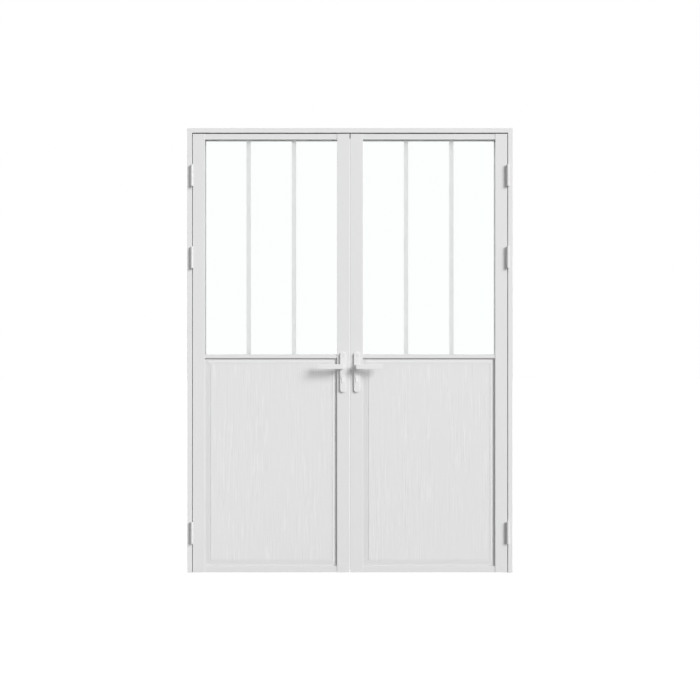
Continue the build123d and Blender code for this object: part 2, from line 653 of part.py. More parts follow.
def screw(height):
    """A bolt right through the leaf, with a countersunk head at both plates."""
    face = HALF_DEPTH + PLATE_THICKNESS
    bolt = round_bar(SCREW_RADIUS, SPINDLE_X, (-face, face), height)
    seat = (Align.CENTER, Align.CENTER, Align.MAX)
    cone = Cone(SCREW_RADIUS, SCREW_HEAD_RADIUS, SCREW_HEAD, align=seat)
    for side in (-1, 1):
        bolt = bolt + Pos(SPINDLE_X, side * face, height) * Rot(-90 * side, 0, 0) * cone
    return bolt


def handle_screws():
    return Compound(children=[screw(height) for height in SCREW_HEIGHTS])


def spindle_bar(half_length):
    return block(about(SPINDLE_X, SPINDLE_SIDE), (-half_length, half_length),
                 about(HANDLE_HEIGHT, SPINDLE_SIDE))


def outer_lever():
    """A cast lever: a boss that turns in the plate, a flat neck and a bar bent away from it."""
    front = -HALF_DEPTH - LEVER_STANDOFF
    back, plate_face = front + LEVER_THICKNESS, -HALF_DEPTH - PLATE_THICKNESS
    head, tip = SPINDLE_X - LEVER_HEAD, SPINDLE_X + LEVER_LENGTH
    neck, root = SPINDLE_X + LEVER_HEAD, plate_face - NECK_GAP
    plan = make_face(Polyline((head, root), (head, front), (tip, front), (tip, back),
                              (neck, back), (neck, root), close=True))
    bends = [v for v in plan.vertices() if at(v, head, front) or at(v, neck, back)]
    low = HANDLE_HEIGHT - LEVER_HEIGHT / 2
    bar = Pos(0, 0, low) * extrude(fillet(bends, LEVER_BEND), amount=LEVER_HEIGHT, dir=(0, 0, 1))
    outline = block((head, tip), (front, plate_face), about(HANDLE_HEIGHT, LEVER_HEIGHT))
    outline = fillet(outline.edges().filter_by(Axis.Y).group_by(Axis.X)[0], LEVER_HEAD_CORNER)
    outline = fillet(outline.edges().filter_by(Axis.Y).group_by(Axis.X)[-1], LEVER_TIP_CORNER)
    boss_y = (plate_face - BOSS_PROUD, -HALF_DEPTH - FIT)
    boss = round_bar(BOSS_RADIUS, SPINDLE_X, boss_y, HANDLE_HEIGHT)
    bar = bar & outline
    long_edges = bar.faces().sort_by(Axis.Y)[0].edges().filter_by(Axis.X)
    bar = fillet(long_edges, LEVER_EDGE)
    return bar + boss - spindle_bar(HALF_DEPTH + SPINDLE_END)


def at(vertex, x, y):
    """Whether a corner of a plan lies at x and y."""
    return abs(vertex.X - x) < SAME and abs(vertex.Y - y) < SAME


def inner_lever():
    return mirror(outer_lever(), about=Plane.XZ)


def involute(angle):
    return math.tan(angle) - angle


def pinion_outline():
    """Involute teeth, with one that points at each rack."""
    base, root = PITCH_RADIUS * math.cos(PRESSURE_ANGLE), PITCH_RADIUS - ROOT_DEPTH
    height = PITCH_RADIUS + MODULE - base
    half = math.pi / (2 * PINION_TEETH) - BACKLASH / (2 * PITCH_RADIUS) + involute(PRESSURE_ANGLE)
    radii = [base + height * i / FLANK_STEPS for i in range(FLANK_STEPS + 1)]
    flank = [(root, half)] + [(r, half - involute(math.acos(base / r))) for r in radii]
    points = []
    for tooth in range(PINION_TEETH):
        centre = 2 * math.pi * tooth / PINION_TEETH
        points += [(r, centre - a) for r, a in flank] + [(r, centre + a) for r, a in reversed(flank)]
    return [(r * math.cos(a), r * math.sin(a)) for r, a in points]


def spindle():
    """The square spindle with the lock's pinion and its hub."""
    face = make_face(Polyline(*pinion_outline(), close=True))
    gear = Rot(90, 0, 0) * extrude(face, amount=-PINION_WIDTH, dir=(0, 0, 1))
    pinion = Pos(SPINDLE_X, DRIVE_Y - PINION_WIDTH / 2, HANDLE_HEIGHT) * gear
    hub = round_bar(HUB_RADIUS, SPINDLE_X, about(CASE_Y, CASE_THICKNESS), HANDLE_HEIGHT)
    return spindle_bar(HALF_DEPTH + SPINDLE_END) + pinion + hub


# ---------------------------------------------------------------- cylinder
def cylinder_body():
    """A profile cylinder, bored for the plug and cut through the middle for the cam."""
    half = HALF_DEPTH + PLATE_THICKNESS + CYLINDER_PROUD
    body = cylinder_profile(0, (-half, half))
    body = body - round_bar(PLUG_RADIUS + RUNNING_CLEARANCE, SPINDLE_X, (-half, half), CYLINDER_HEIGHT)
    gap = 2 * (CAM_REACH + CAM_CLEARANCE)
    return body - block(about(SPINDLE_X, gap), about(0, CAM_THICKNESS + 2 * CAM_CLEARANCE),
                        about(CYLINDER_HEIGHT, gap))


def cylinder_plug():
    """The plug through the body, with a keyway in each end and the cam in the middle."""
    half = HALF_DEPTH + PLATE_THICKNESS + CYLINDER_PROUD + PLUG_PROUD
    plug = round_bar(PLUG_RADIUS, SPINDLE_X, (-half, half), CYLINDER_HEIGHT)
    cam_y = about(0, CAM_THICKNESS)
    arm = block(about(SPINDLE_X, CAM_WIDTH), cam_y, (CYLINDER_HEIGHT - CAM_REACH, CYLINDER_HEIGHT))
    plug = plug + (arm & round_bar(CAM_REACH, SPINDLE_X, cam_y, CYLINDER_HEIGHT))
    for y in ((-half, -half + KEYWAY_DEPTH), (half - KEYWAY_DEPTH, half)):
        plug = plug - block(about(SPINDLE_X, KEYWAY_WIDTH), y, about(CYLINDER_HEIGHT, KEYWAY_HEIGHT))
    return plug


# ---------------------------------------------------------------- lock
def rack_teeth(x_root, towards):
    """Teeth that mesh with the pinion, on a bar whose roots lie at x_root."""
    pitch = math.pi * MODULE
    half = pitch / 4 - BACKLASH / 2
    slope = math.tan(PRESSURE_ANGLE)
    high = MODULE - BACKLASH / 2
    x_tip = x_root + towards * (ROOT_DEPTH + high)
    wide, narrow = half + ROOT_DEPTH * slope, half - high * slope
    teeth = []
    for i in range(RACK_TEETH):
        z = HANDLE_HEIGHT + (i - RACK_LEAD - 0.5) * pitch
        outline = [(x_root, z - wide), (x_tip, z - narrow), (x_tip, z + narrow), (x_root, z + wide)]
        face = Plane.XZ * make_face(Polyline(*outline, close=True))
        teeth.append(Pos(0, DRIVE_Y - ROD_WIDTH / 2, 0) * extrude(face, amount=ROD_WIDTH, dir=(0, 1, 0)))
    return teeth


def lower_rod():
    """The rod on the pinion's far side, which drops as the lever is turned down."""
    pitch = math.pi * MODULE
    top = HANDLE_HEIGHT + (RACK_TEETH - 1) * pitch
    bar = block(about(LOWER_ROD_X, ROD_THICKNESS), about(DRIVE_Y, ROD_WIDTH),
                (LEAF_BOTTOM + ROD_RECESS, top))
    for tooth in rack_teeth(LOWER_ROD_X - ROD_THICKNESS / 2, -1):
        bar = bar + tooth
    return nose(bar, LEAF_BOTTOM + ROD_RECESS)


def nose(rod, end):
    """Round the sides of a rod's end so that it finds its hole."""
    across = [edge for edge in rod.edges().filter_by(Axis.X) if abs(edge.center().Z - end) < SAME]
    return chamfer(across, ROD_NOSE)


def upper_rod():
    """The rod on the pinion's near side, which rises as the lever is turned down."""
    turned = Pos(SPINDLE_X, 0, HANDLE_HEIGHT) * Rot(0, 180, 0) * Pos(-SPINDLE_X, 0, -HANDLE_HEIGHT)
    bottom = HANDLE_HEIGHT - (RACK_TEETH - 1) * math.pi * MODULE
    bar = block(about(ROD_X, ROD_THICKNESS), about(DRIVE_Y, ROD_WIDTH),
                (bottom, LEAF_TOP - ROD_RECESS))
    for tooth in rack_teeth(LOWER_ROD_X - ROD_THICKNESS / 2, -1):
        bar = bar + turned * tooth
    return nose(bar, LEAF_TOP - ROD_RECESS)


def deadbolt_at(thrown, grow):
    """The deadbolt's space, thrown by some distance and grown all round."""
    edge = LEAF_INNER + edge_at(CASE_Y - DEADBOLT_THICKNESS / 2, MEETING_BEVEL)
    low = edge + DEADBOLT_RECESS - thrown
    return block((low, low + DEADBOLT_LENGTH), about(CASE_Y, DEADBOLT_THICKNESS + 2 * grow),
                 about(DEADBOLT_HEIGHT, DEADBOLT_TALL + 2 * grow))


def deadbolt():
    bolt = deadbolt_at(0, 0)
    return chamfer(bolt.faces().sort_by(Axis.X)[0].edges(), DEADBOLT_RECESS)


def lock_case(is_right):
    """A folded case behind a faceplate, open where spindle, cylinder and rods pass."""
    x, y, z = (CASE_FRONT, CASE_BACK), about(CASE_Y, CASE_THICKNESS), case_span(is_right)
    case = block(x, y, z) - block(inset(x, CASE_WALL), inset(y, CASE_WALL), inset(z, CASE_WALL))
    span = faceplate_span(is_right)
    slab = meeting_edge_slab(FACEPLATE_THICKNESS, span)
    plate = slab & block((0, CASE_FRONT), about(CASE_Y, FACEPLATE_WIDTH), span)
    case = case + plate
    case = case - round_bar(HUB_RADIUS + RUNNING_CLEARANCE, SPINDLE_X, y, HANDLE_HEIGHT)
    case = case - cylinder_profile(FIT, y)
    case = case - rod_slot(ROD_X, (HANDLE_HEIGHT, CASE_TOP))
    case = case - rod_slot(LOWER_ROD_X, (z[0], HANDLE_HEIGHT))
    if is_right:
        case = case - deadbolt_at(DEADBOLT_THROW, ROD_CLEARANCE)
        case = case - round_bar(SCREW_RADIUS + FIT, SPINDLE_X, y, SCREW_HEIGHTS[0])
    return case


def deadbolt_keeper():
    """The plate in the left leaf's meeting edge that takes the deadbolt."""
    span = strike_span()
    slab = meeting_edge_slab(FACEPLATE_THICKNESS, span)
    plate = slab & block((0, CASE_FRONT), about(CASE_Y, FACEPLATE_WIDTH), span)
    opening = block((0, 2 * CASE_FRONT), about(CASE_Y, DEADBOLT_THICKNESS + 2 * STRIKE_CLEARANCE),
                    about(DEADBOLT_HEIGHT, DEADBOLT_TALL + 2 * STRIKE_CLEARANCE))
    return plate - opening


def rod_guides():
    """Plugs in the ends of the meeting stile that guide the rods."""
    x = (CASE_FRONT, CASE_BACK)
    y = inset(about(0, LEAF_DEPTH), EXTRUSION_WALL + FIT)
    top = block(x, y, (LEAF_TOP - GUIDE_LENGTH, LEAF_TOP))
    bottom = block(x, y, (LEAF_BOTTOM, LEAF_BOTTOM + GUIDE_LENGTH))
    return [top - rod_slot(ROD_X, (LEAF_TOP - GUIDE_LENGTH, LEAF_TOP)),
            bottom - rod_slot(LOWER_ROD_X, (LEAF_BOTTOM, LEAF_BOTTOM + GUIDE_LENGTH))]


# ---------------------------------------------------------------- all nodes
def leaf_nodes(side):
    """Every node of one leaf, by name, modelled on the right."""
    is_right = side == "right"
    nodes = {
        "hinge_stile": hinge_stile(),
        "meeting_stile": meeting_stile(is_right),
        "top_rail": top_rail(),
        "mid_rail": mid_rail(),
        "bottom_rail": bottom_rail(),
        "panel": panel(),
        "outer_pane": pane(-1),
        "inner_pane": pane(1),
        "spacer_and_bars": spacer_and_bars(),
        "glazing_beads": glazing_beads(),
        "glazing_gaskets": glazing_gaskets(),
        "bottom_brush": bottom_brush(),
        "hinge_leaves": Compound(children=hinge_halves(True)),
        "handle_plates": handle_plates(),
        "handle_screws": handle_screws(),
        "outer_lever": outer_lever(),
        "inner_lever": inner_lever(),
        "spindle": spindle(),
        "cylinder_body": cylinder_body(),
        "cylinder_plug": cylinder_plug(),
        "lock_case": lock_case(is_right),
        "upper_rod": upper_rod(),
        "lower_rod": lower_rod(),
        "rod_guides": Compound(children=rod_guides()),
    }
    return {f"{side}_{name}": shape for name, shape in nodes.items()}


def frame_nodes():
    left, right, head = frame_members()
    pins = [hinge_pin(height) for height in HINGE_HEIGHTS]
    return {
        "left_jamb": left,
        "right_jamb": right,
        "head": head,
        "corner_cleats": corner_cleats(),
        "frame_gasket": frame_gasket(),
        "head_keepers": head_keepers(),
        "frame_hinge_leaves": both_sides(hinge_halves(False)),
        "hinge_pins": both_sides(pins),
    }


def main():
    nodes = frame_nodes()
    nodes.update(leaf_nodes("right"))
    for name, shape in leaf_nodes("left").items():
        nodes[name] = mirror(shape, about=Plane.YZ)
    nodes["meeting_seal"] = meeting_seal()
    nodes["deadbolt"] = deadbolt()
    nodes["deadbolt_keeper"] = mirror(deadbolt_keeper(), about=Plane.YZ)
    for name, shape in nodes.items():
        export_step(shape, f"parts/{name}.step")


main()
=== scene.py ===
import math
import random

import bmesh
import bpy
import numpy as np
from mathutils import Matrix, Vector, noise


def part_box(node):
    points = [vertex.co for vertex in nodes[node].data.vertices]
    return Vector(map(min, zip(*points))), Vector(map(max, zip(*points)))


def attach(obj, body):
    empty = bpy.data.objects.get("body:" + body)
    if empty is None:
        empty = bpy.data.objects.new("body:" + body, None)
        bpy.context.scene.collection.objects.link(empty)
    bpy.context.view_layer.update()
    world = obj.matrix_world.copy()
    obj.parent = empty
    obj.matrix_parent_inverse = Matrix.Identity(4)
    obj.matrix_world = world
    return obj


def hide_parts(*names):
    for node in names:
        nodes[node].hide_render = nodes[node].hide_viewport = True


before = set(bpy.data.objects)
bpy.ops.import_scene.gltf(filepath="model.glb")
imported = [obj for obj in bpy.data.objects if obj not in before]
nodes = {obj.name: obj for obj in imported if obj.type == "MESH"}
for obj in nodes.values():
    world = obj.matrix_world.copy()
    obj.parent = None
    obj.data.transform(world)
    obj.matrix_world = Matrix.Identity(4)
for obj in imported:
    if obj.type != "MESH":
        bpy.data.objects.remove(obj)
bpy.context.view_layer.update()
bpy.ops.object.select_all(action="DESELECT")

# ---------------------------------------------------------------- studio
# A pale floor under a white sky, a large soft lamp in front on the right, and a weaker one
# behind. The lamp in front is split in two of one direction, and only the weaker half bounces.
# The camera stands square to the door at half its height.
camera_distance = 4.503
camera_height = 1.027
key_direction = (1.05, -1.0, 0.65)
back_direction = (-0.6, 1.0, 0.7)
sky_level = 0.46
floor_radius = 30
floor_bounce = 0.3
floor_glow = 0.8
floor_faint = 0.45

scene = bpy.context.scene
scene.view_settings.view_transform = "Standard"

camera_data = bpy.data.cameras.new("camera")
camera_data.lens = 50
camera_data.sensor_width = 36
camera = bpy.data.objects.new("camera", camera_data)
camera.location = (0, -camera_distance, camera_height)
camera.rotation_euler = (math.radians(90), 0, 0)
scene.collection.objects.link(camera)
scene.camera = camera


def sun(name, towards, strength, width_deg, bounces=None):
    """A broad distant lamp; towards points from the door to the lamp."""
    data = bpy.data.lights.new(name, "SUN")
    data.energy = strength
    data.angle = math.radians(width_deg)
    if bounces is not None:
        data.cycles.max_bounces = bounces
    lamp = bpy.data.objects.new(name, data)
    lamp.rotation_euler = Vector(towards).to_track_quat("Z", "Y").to_euler()
    lamp.visible_transmission = False
    scene.collection.objects.link(lamp)


sun("key_lamp", key_direction, strength=1.95, width_deg=30, bounces=0)
sun("key_spill", key_direction, strength=0.97, width_deg=30)
sun("back_lamp", back_direction, strength=1.35, width_deg=40)


def seen_directly(tree):
    """1 for rays that show the background itself: from the camera, in gloss or through glass."""
    rays = tree.nodes.new("ShaderNodeLightPath")
    found = rays.outputs["Is Camera Ray"]
    for kind in ("Is Glossy Ray", "Is Transmission Ray"):
        either = tree.nodes.new("ShaderNodeMath")
        either.operation = "MAXIMUM"
        tree.links.new(found, either.inputs[0])
        tree.links.new(rays.outputs[kind], either.inputs[1])
        found = either.outputs[0]
    return found


def two_faced(tree, output, lighting, shown):
    """What lights the door and what is seen of it are two shaders."""
    mix = tree.nodes.new("ShaderNodeMixShader")
    tree.links.new(seen_directly(tree), mix.inputs[0])
    tree.links.new(lighting.outputs[0], mix.inputs[1])
    tree.links.new(shown.outputs[0], mix.inputs[2])
    tree.links.new(mix.outputs[0], tree.nodes.new(output).inputs["Surface"])


sky = bpy.data.worlds.new("white_sky")
scene.world = sky
sky.use_nodes = True
tree = sky.node_tree
tree.nodes.clear()
sky_light = tree.nodes.new("ShaderNodeBackground")
sky_light.inputs["Color"].default_value = (1, 1, 1, 1)
sky_light.inputs["Strength"].default_value = sky_level
sky_shown = tree.nodes.new("ShaderNodeBackground")
sky_shown.inputs["Color"].default_value = (1, 1, 1, 1)
two_faced(tree, "ShaderNodeOutputWorld", sky_light, sky_shown)

bpy.ops.mesh.primitive_circle_add(vertices=96, radius=floor_radius, fill_type="NGON",
                                  location=(0, 0, 0))
floor = bpy.context.object
floor.name = "floor"
pale = bpy.data.materials.new("pale_floor")
pale.use_nodes = True
tree = pale.node_tree
tree.nodes.clear()
bounce = tree.nodes.new("ShaderNodeBsdfDiffuse")
bounce.inputs["Color"].default_value = (floor_bounce, floor_bounce, floor_bounce, 1)
glow = tree.nodes.new("ShaderNodeEmission")
glow.inputs["Strength"].default_value = floor_glow
faint = tree.nodes.new("ShaderNodeBsdfDiffuse")
faint.inputs["Color"].default_value = (floor_faint, floor_faint, floor_faint, 1)
whitened = tree.nodes.new("ShaderNodeAddShader")
tree.links.new(glow.outputs[0], whitened.inputs[0])
tree.links.new(faint.outputs[0], whitened.inputs[1])
two_faced(tree, "ShaderNodeOutputMaterial", bounce, whitened)
floor.data.materials.append(pale)

# ---------------------------------------------------------------- frame members
# The jambs and the head are one aluminium section, mitred at the corners and powder coated
# white. The cured powder has a fine orange peel and hardly any gloss.
coat_blue = 1.002


def add_node(tree, kind, links=None, **settings):
    """A shader node with its settings, and links by the name of its input."""
    node = tree.nodes.new(kind)
    for name, value in settings.items():
        if name in node.inputs:
            node.inputs[name].default_value = value
        else:
            setattr(node, name, value)
    for name, source in (links or {}).items():
        tree.links.new(source, node.inputs[name])
    return node


def new_group(name, inputs, outputs):
    """An empty node group. An input of four numbers is a colour, of three a vector."""
    group = bpy.data.node_groups.new(name, "ShaderNodeTree")
    for label, value in inputs.items():
        size = len(value) if isinstance(value, tuple) else 1
        kind = {1: "NodeSocketFloat", 3: "NodeSocketVector", 4: "NodeSocketColor"}[size]
        socket = group.interface.new_socket(name=label, in_out="INPUT", socket_type=kind)
        socket.default_value = value
    for label in outputs:
        kind = {"Colour": "NodeSocketColor", "Normal": "NodeSocketVector"}.get(label)
        group.interface.new_socket(name=label, in_out="OUTPUT",
                                   socket_type=kind or "NodeSocketFloat")
    return group, group.nodes.new("NodeGroupInput"), group.nodes.new("NodeGroupOutput")


def surface_group(name, along, detail):
    """A noise that moves tone, roughness and height a little; along stretches it."""
    inputs = {"Colour": (0.8, 0.8, 0.8, 1.0), "Size": 900.0, "Along": along, "Tone": 0.02,
              "Roughness": 0.5, "Gloss Change": 0.08, "Depth": 0.00008}
    group, given, made = new_group(name, inputs, ("Colour", "Roughness", "Normal"))
    given = given.outputs
    place = add_node(group, "ShaderNodeTexCoord").outputs["Object"]
    stretched = add_node(group, "ShaderNodeVectorMath", {0: place, 1: given["Along"]},
                         operation="MULTIPLY")
    fine = add_node(group, "ShaderNodeTexNoise",
                    {"Vector": stretched.outputs[0], "Scale": given["Size"]}, Detail=detail)
    cloud = add_node(group, "ShaderNodeTexNoise", {"Vector": place}, Scale=3.0, Detail=3.0)
    both = add_node(group, "ShaderNodeMath", {0: fine.outputs["Fac"], 1: cloud.outputs["Fac"]})
    centred = add_node(group, "ShaderNodeMath", {0: both.outputs[0]}, operation="SUBTRACT")
    centred.inputs[1].default_value = 1.0
    tone = add_node(group, "ShaderNodeMath", {0: centred.outputs[0], 1: given["Tone"]},
                    operation="MULTIPLY_ADD")
    tone.inputs[2].default_value = 1.0
    tinted = add_node(group, "ShaderNodeVectorMath", {0: given["Colour"], 1: tone.outputs[0]},
                      operation="MULTIPLY")
    gloss = add_node(group, "ShaderNodeMath",
                     {0: centred.outputs[0], 1: given["Gloss Change"], 2: given["Roughness"]},
                     operation="MULTIPLY_ADD")
    bump = add_node(group, "ShaderNodeBump",
                    {"Height": fine.outputs["Fac"], "Distance": given["Depth"]})
    group.links.new(tinted.outputs[0], made.inputs["Colour"])
    group.links.new(gloss.outputs[0], made.inputs["Roughness"])
    group.links.new(bump.outputs["Normal"], made.inputs["Normal"])
    return group


powder = surface_group("powder_coat", (1.0, 1.0, 1.0), 2.0)


def new_material(name, group, colour, **values):
    """A material whose surface comes from a group; its tree and shader, for what is added."""
    material = bpy.data.materials.new(name)
    material.use_nodes = True
    tree = material.node_tree
    shader = tree.nodes["Principled BSDF"]
    surface = add_node(tree, "ShaderNodeGroup", node_tree=group)
    surface.inputs["Colour"].default_value = (*colour, 1.0)
    for label, value in values.items():
        surface.inputs[label.replace("_", " ")].default_value = value
    tree.links.new(surface.outputs["Colour"], shader.inputs["Base Color"])
    tree.links.new(surface.outputs["Roughness"], shader.inputs["Roughness"])
    tree.links.new(surface.outputs["Normal"], shader.inputs["Normal"])
    return material, tree, shader


def coated(name, grey, **values):
    """A white powder coat of its own grey."""
    return new_material(name, powder, (grey, grey, grey * coat_blue), **values)[0]


def paint(material, *names):
    """Gives carried-over nodes their material."""
    for name in names:
        for holder in nodes[name].material_slots:
            holder.link = "OBJECT"
            holder.material = material


frame_coat = coated("frame_powder_coat", grey=0.80)
paint(frame_coat, "left_jamb", "right_jamb", "head")

# ---------------------------------------------------------------- anchor caps
# The frame is anchored through its rebate. A push-in plastic cap with a shallow dome covers
# each anchor's head. Its rim is 0.6 mm thick, its dome 1.1 mm high, and its stem tapers.
cap_segments = 28
cap_radius = 0.0078
cap_rim = 0.0006
cap_dome = 0.0011
cap_dome_steps = ((0.0012, 0.45), (0.0022, 0.35), (0.0024, 0.20))
cap_shoulder = 0.0030
cap_stem = 0.0050
cap_taper = 0.92
rebate_x = 0.728
rebate_z = 2.028
anchor_y = 0.008
anchor_heights = (0.300, 0.750, 1.250, 1.700)
anchor_x = 0.400


def new_piece(name):
    """Names the object that was just added, and puts its place into its mesh."""
    piece = bpy.context.object
    piece.name = piece.data.name = name
    bpy.ops.object.transform_apply(location=True, rotation=True, scale=True)
    return piece


def edit(piece):
    """Opens a piece in edit mode with nothing selected."""
    bpy.ops.object.select_all(action="DESELECT")
    piece.select_set(True)
    bpy.context.view_layer.objects.active = piece
    bpy.ops.object.mode_set(mode="EDIT")
    bpy.ops.mesh.select_mode(type="VERT")
    bpy.ops.mesh.select_all(action="DESELECT")


def choose(piece, kind, test):
    """Selects the faces, by middle and normal, or edges, by middle and edge, that pass a test."""
    bpy.ops.mesh.select_mode(type={"faces": "FACE", "edges": "EDGE"}[kind])
    bpy.ops.mesh.select_all(action="DESELECT")
    shape = bmesh.from_edit_mesh(piece.data)
    for part in getattr(shape, kind):
        if kind == "faces":
            part.select_set(test(part.calc_center_median(), part.normal))
        else:
            part.select_set(test((part.verts[0].co + part.verts[1].co) / 2, part))
    shape.select_flush_mode()
    bmesh.update_edit_mesh(piece.data)


def draw_on(move, scale=1.0):
    """Extrudes what is selected by a move, and scales its new end about the Z axis."""
    bpy.ops.mesh.extrude_region_move(TRANSFORM_OT_translate={"value": move})
    bpy.ops.transform.resize(value=(scale, scale, 1), center_override=(0, 0, 0))


def close_up(piece, angle=30):
    """Merges doubles, turns the faces outwards, leaves edit mode and smooths soft edges."""
    bpy.ops.mesh.select_all(action="SELECT")
    bpy.ops.mesh.remove_doubles(threshold=1e-6)
    bpy.ops.mesh.normals_make_consistent(inside=False)
    bpy.ops.mesh.select_all(action="DESELECT")
    bpy.ops.object.mode_set(mode="OBJECT")
    bpy.ops.object.shade_smooth_by_angle(angle=math.radians(angle))


def spread(model, name, places):
    """Copies of a model, each turned from +Z towards its own direction, as one object."""
    copies = []
    for place, towards in places:
        copy = model.copy()
        copy.data = model.data.copy()
        scene.collection.objects.link(copy)
        turn = Vector(towards).to_track_quat("Z", "Y").to_matrix().to_4x4()
        copy.data.transform(Matrix.Translation(place) @ turn)
        copies.append(copy)
    bpy.ops.object.select_all(action="DESELECT")
    for copy in copies:
        copy.select_set(True)
    bpy.context.view_layer.objects.active = copies[0]
    bpy.ops.object.join()
    copies[0].name = copies[0].data.name = name
    return copies[0]


bpy.ops.mesh.primitive_cylinder_add(vertices=cap_segments, radius=cap_radius, depth=cap_rim,
                                    location=(0, 0, cap_rim / 2))
cap = new_piece("cap_model")
edit(cap)
choose(cap, "faces", lambda middle, normal: normal.z > 0.9)
for inset, rise in cap_dome_steps:
    bpy.ops.mesh.inset(thickness=inset, depth=0)
    bpy.ops.transform.translate(value=(0, 0, (cap_dome - cap_rim) * rise))
choose(cap, "faces", lambda middle, normal: normal.z < -0.9)
bpy.ops.mesh.inset(thickness=cap_shoulder, depth=0)
draw_on((0, 0, -cap_stem), cap_taper)
close_up(cap, angle=40)
places = [((side * rebate_x, anchor_y, height), (-side, 0, 0))
          for side in (-1, 1) for height in anchor_heights]
places += [((side * anchor_x, anchor_y, rebate_z), (0, 0, -1)) for side in (-1, 1)]
caps = spread(cap, "anchor_caps", places)
bpy.data.objects.remove(cap)

moulded = surface_group("moulded", (1.0, 1.0, 1.0), 3.0)
cap_plastic = new_material("cap_plastic", moulded, (0.80, 0.80, 0.80), Size=1600.0,
                           Roughness=0.42, Depth=0.00004)[0]
caps.data.materials.append(cap_plastic)
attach(caps, "frame")

# ---------------------------------------------------------------- leaf frames
# Stiles and rails are hollow aluminium extrusions with the same white coat. The rails lie a
# little behind the stiles, so each crossing shows a fine line.
sides = ("left", "right")
leaf_coat = coated("leaf_powder_coat", grey=0.78)
for side in sides:
    for name in ("hinge_stile", "meeting_stile", "top_rail", "mid_rail", "bottom_rail"):
        paint(leaf_coat, f"{side}_{name}")

bead_coat = coated("bead_powder_coat", grey=0.78, Roughness=0.45)
for side in sides:
    paint(bead_coat, f"{side}_glazing_beads")

# ---------------------------------------------------------------- panels
# The lower half of each leaf is a bonded panel: two coated aluminium skins on a core, held in
# the leaf's slot. Each skin has a sloping border, a groove and a raised field, and an upright
# wood grain is pressed into the field.
panel_half = 0.012
panel_rise = 0.003
panel_border = 0.0215
cover_sides, cover_below, cover_above = 0.010, 0.010, 0.005
groove_width, groove_depth = 0.005, 0.0015
grain_depth = 0.00034
grain_columns, grain_rows = 400, 64
grain_drift, drift_scale = 0.004, (9, 3)
broad_scale, broad_weight = (150, 5), 0.7
narrow_scale, narrow_weight = (330, 9), 0.9
patch_scale, patch_middle, patch_weight, patch_least = (14, 2.2), 0.55, 1.1, 0.15
grain_offset = 0.25
grain_seeds = (3.7, 41.3)
pore_stretch, pore_depth = (1100.0, 60.0, 26.0), 0.00006
streak_stretch = (150.0, 1.0, 7.0)
cloud_stretch = (13.0, 1.0, 2.2)


def draw_rim(piece, back, at_sides=0.0, below=0.0, above=0.0):
    """Extrudes the selected rim back from the door's face and outwards in its plane."""
    bpy.ops.mesh.extrude_region_move(TRANSFORM_OT_translate={"value": (0, back, 0)})
    rim = [v.co.copy() for v in bmesh.from_edit_mesh(piece.data).verts if v.select]
    low = Vector([min(co[i] for co in rim) for i in range(3)])
    high = Vector([max(co[i] for co in rim) for i in range(3)])
    if at_sides:
        grow = ((high.x - low.x + 2 * at_sides) / (high.x - low.x),
                (high.z - low.z + below + above) / (high.z - low.z))
        centre = ((low.x + high.x) / 2, low.y, low.z + below / (grow[1] - 1))
        bpy.ops.transform.resize(value=(grow[0], 1, grow[1]), center_override=centre)


low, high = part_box("right_panel")
field_low = low + Vector((cover_sides + panel_border + groove_width, 0,
                          cover_below + panel_border + groove_width))
field_high = high - Vector((cover_sides + panel_border + groove_width, 0,
                            cover_above + panel_border + groove_width))
field_size = field_high - field_low
field_middle = (field_low + field_high) / 2
field_y = panel_half + panel_rise
bpy.ops.mesh.primitive_grid_add(x_subdivisions=grain_columns, y_subdivisions=grain_rows, size=1,
                                location=(field_middle.x, -field_y, field_middle.z),
                                rotation=(math.radians(90), 0, 0))
blank = new_piece("panel_model")
edit(blank)
bpy.ops.mesh.select_all(action="SELECT")
bpy.ops.transform.resize(value=(field_size.x, 1, field_size.z), center_override=field_middle)
choose(blank, "edges", lambda middle, edge: edge.is_boundary)
draw_rim(blank, groove_depth)
draw_rim(blank, 0, groove_width, groove_width, groove_width)
draw_rim(blank, -groove_depth)
draw_rim(blank, panel_rise, panel_border, panel_border, panel_border)
draw_rim(blank, 0, cover_sides, cover_below, cover_above)
draw_rim(blank, panel_half)
bpy.ops.object.mode_set(mode="OBJECT")
mirror = blank.modifiers.new("inner_face", "MIRROR")
mirror.use_axis = (False, True, False)
mirror.merge_threshold = 1e-5
bpy.ops.object.modifier_apply(modifier=mirror.name)
edit(blank)
close_up(blank, angle=4)


def pressed(x, z, seed):
    """How deep the grain is pressed at a place, from 0 to 1; each noise has its own slice."""
    drift = grain_drift * noise.noise((drift_scale[0] * x, drift_scale[1] * z, seed))
    broad = noise.noise((broad_scale[0] * (x + drift), broad_scale[1] * z, seed + 5))
    narrow = noise.noise((narrow_scale[0] * (x + drift), narrow_scale[1] * z, seed + 11))
    where = noise.noise((patch_scale[0] * x, patch_scale[1] * z, seed + 17))
    strength = min(1.0, max(patch_least, patch_middle + patch_weight * where))
    fibres = strength * (broad_weight * broad + narrow_weight * narrow)
    return min(1.0, max(0.0, grain_offset + fibres))


def press_grain(piece, seed):
    """Sinks the vertices of both fields by the grain; the fields' rims stay."""
    places = np.empty(len(piece.data.vertices) * 3, np.float32)
    piece.data.vertices.foreach_get("co", places)
    places = places.reshape(-1, 3)
    middle_x = (places[:, 0].min() + places[:, 0].max()) / 2
    level, margin = 1e-5, 1e-4
    inner = field_y - np.abs(places[:, 1]) < level
    inner &= np.abs(places[:, 0] - middle_x) < field_size.x / 2 - margin
    inner &= np.abs(places[:, 2] - field_middle.z) < field_size.z / 2 - margin
    for i in np.flatnonzero(inner):
        x, y, z = (float(value) for value in places[i])
        face = math.copysign(1, y)
        places[i, 1] = y - face * grain_depth * pressed(x, z, seed + 2 * face)
    piece.data.vertices.foreach_set("co", places.ravel())
    piece.data.update()


